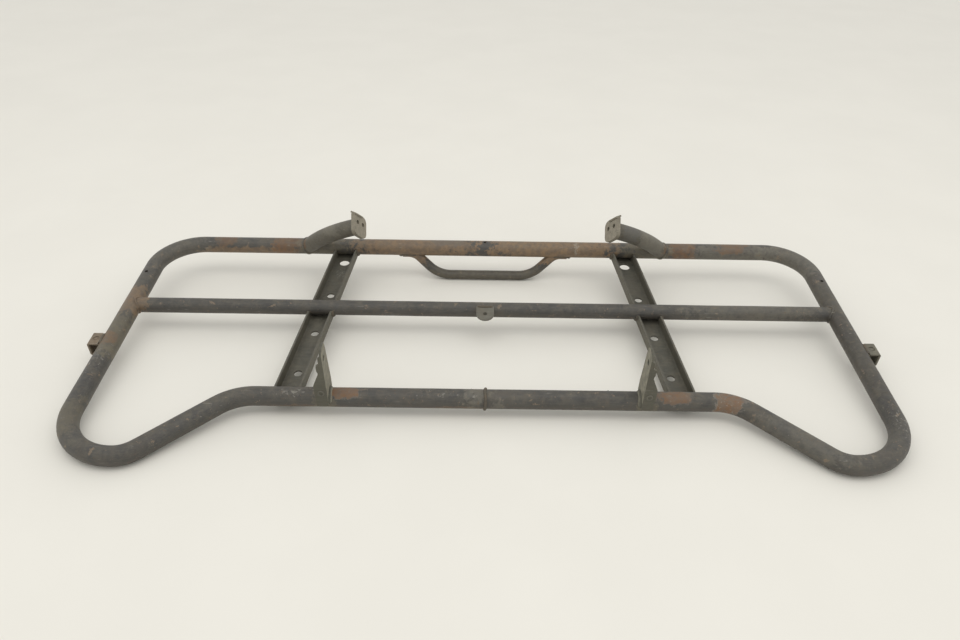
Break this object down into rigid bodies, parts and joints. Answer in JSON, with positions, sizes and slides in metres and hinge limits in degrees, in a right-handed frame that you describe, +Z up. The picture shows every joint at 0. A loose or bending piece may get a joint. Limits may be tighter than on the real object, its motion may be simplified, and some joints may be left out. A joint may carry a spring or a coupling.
{
  "type": "rear cargo rack",
  "caption": "Bent-tube rear cargo rack with two channel rails, a cross tube, a grab loop, two curved mounting arms and folded sheet brackets, lying upside down.",
  "frame": {"origin": "centre of the footprint, on the surface the rack lies on upside down", "axes": "+X across the rack to its right as seen from the wings, +Y towards the rear tube, +Z up, out of the side that carries the mounting legs"},
  "size_m": [1.094, 0.4692, 0.1449],
  "materials": {
    "frame_paint": "worn satin black paint with rust",
    "bracket_paint": "dusty worn paint",
    "nut_steel": "dull, rusty",
    "weld": "painted over weld bead, rusty"
  },
  "bodies": {
    "root": {"perimeter_tube": "frame_paint", "butt_weld_ring": "weld", "mid_cross_tube": "frame_paint", "channel_right": "frame_paint", "channel_left": "frame_paint", "grab_loop": "frame_paint", "rear_arm_right": "frame_paint", "rear_arm_left": "frame_paint", "arm_plate_right": "bracket_paint", "arm_plate_left": "bracket_paint", "front_bracket_right": "bracket_paint", "front_bracket_left": "bracket_paint", "side_bracket_right": "bracket_paint", "side_bracket_left": "bracket_paint", "side_nut_right": "nut_steel", "side_nut_left": "nut_steel", "center_tab": "bracket_paint", "weld_arm_foot_right": "weld", "weld_arm_foot_left": "weld", "weld_mid_end_right": "weld", "weld_mid_end_left": "weld", "weld_arm_plate_right": "weld", "weld_arm_plate_left": "weld", "weld_channel_rear_outer_right": "weld", "weld_channel_rear_outer_left": "weld", "weld_channel_rear_inner_right": "weld", "weld_channel_rear_inner_left": "weld", "weld_channel_mid_outer_right": "weld", "weld_channel_mid_outer_left": "weld", "weld_channel_mid_inner_right": "weld", "weld_channel_mid_inner_left": "weld", "weld_channel_front_outer_right": "weld", "weld_channel_front_outer_left": "weld", "weld_channel_front_inner_right": "weld", "weld_channel_front_inner_left": "weld", "weld_loop_end_right": "weld", "weld_loop_end_left": "weld", "weld_front_bracket_right": "weld", "weld_front_bracket_left": "weld", "weld_side_bracket_top_right": "weld", "weld_side_bracket_top_left": "weld", "weld_side_bracket_bottom_right": "weld", "weld_side_bracket_bottom_left": "weld", "weld_center_tab": "weld"}
  },
  "joints": []
}
